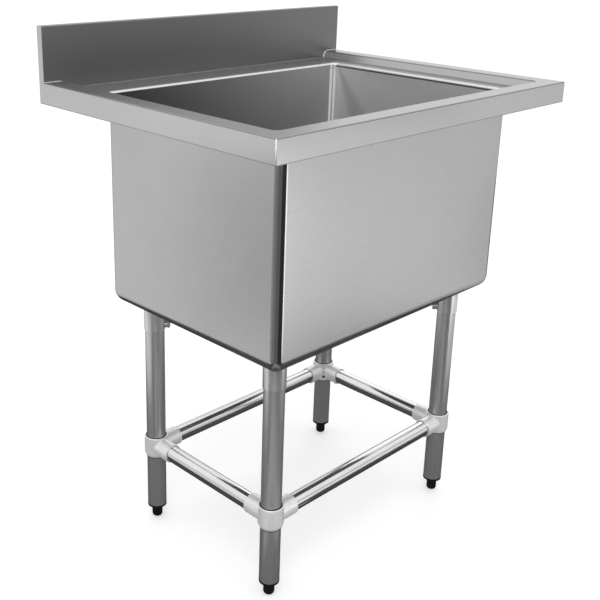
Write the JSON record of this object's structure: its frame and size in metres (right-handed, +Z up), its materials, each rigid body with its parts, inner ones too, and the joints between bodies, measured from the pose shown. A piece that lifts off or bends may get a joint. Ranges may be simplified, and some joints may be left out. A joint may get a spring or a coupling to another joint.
{
  "type": "utility laundry sink",
  "caption": "Free-standing deep rectangular laundry sink with a raised border, low splashback, round tube legs on screw feet and a ring of lower rails.",
  "frame": {"origin": "on the floor, under the middle of the sink top", "axes": "+X right along the front, +Y back to the wall, +Z up"},
  "size_m": [0.79, 0.6, 1],
  "materials": {
    "top_steel": "satin",
    "bowl_steel": "satin",
    "frame_steel": "satin",
    "satin_tube": "satin",
    "polished_tube": "polished",
    "cast_alloy": "blasted",
    "zinc_plate": "zinc plated",
    "black_oxide": "black oxide",
    "black_nylon": "moulded",
    "black_rubber": "matt",
    "slip_washer": "smooth",
    "locknut_plastic": "moulded",
    "waste_steel": "polished"
  },
  "bodies": {
    "sink": {"bowl": "bowl_steel", "corner_fitting_back_left": "cast_alloy", "corner_fitting_back_right": "cast_alloy", "corner_fitting_front_left": "cast_alloy", "corner_fitting_front_right": "cast_alloy", "fitting_grub_screws": "black_oxide", "foot_insert_back_left": "black_nylon", "foot_insert_back_right": "black_nylon", "foot_insert_front_left": "black_nylon", "foot_insert_front_right": "black_nylon", "leg_back_left": "satin_tube", "leg_back_right": "satin_tube", "leg_front_left": "satin_tube", "leg_front_right": "satin_tube", "leg_socket_back_left": "frame_steel", "leg_socket_back_right": "frame_steel", "leg_socket_front_left": "frame_steel", "leg_socket_front_right": "frame_steel", "rail_back": "polished_tube", "rail_front": "polished_tube", "rail_left": "polished_tube", "rail_right": "polished_tube", "sink_top": "top_steel", "socket_plate_back_left": "frame_steel", "socket_plate_back_right": "frame_steel", "socket_plate_front_left": "frame_steel", "socket_plate_front_right": "frame_steel", "socket_set_bolts": "zinc_plate", "waste_bed_gasket": "black_rubber", "waste_body": "waste_steel", "waste_gasket": "black_rubber", "waste_locknut": "locknut_plastic", "waste_washer": "slip_washer"},
    "basket": {"strainer_basket": "waste_steel", "basket_knob": "waste_steel"},
    "foot_front_left": {"adjustable_foot_front_left": "black_nylon"},
    "foot_front_right": {"adjustable_foot_front_right": "black_nylon"},
    "foot_back_right": {"adjustable_foot_back_right": "black_nylon"},
    "foot_back_left": {"adjustable_foot_back_left": "black_nylon"}
  },
  "joints": [
    {"name": "foot_screw_front_left", "type": "slide", "parent": "sink", "child": "foot_front_left", "axis": [0, 0, -1], "range_m": [0, 0.025]},
    {"name": "foot_screw_front_right", "type": "slide", "parent": "sink", "child": "foot_front_right", "axis": [0, 0, -1], "range_m": [0, 0.025]},
    {"name": "foot_screw_back_right", "type": "slide", "parent": "sink", "child": "foot_back_right", "axis": [0, 0, -1], "range_m": [0, 0.025]},
    {"name": "foot_screw_back_left", "type": "slide", "parent": "sink", "child": "foot_back_left", "axis": [0, 0, -1], "range_m": [0, 0.025]},
    {"name": "basket_lift", "type": "slide", "parent": "sink", "child": "basket", "axis": [0, 0, 1], "range_m": [0, 0.48]}
  ]
}
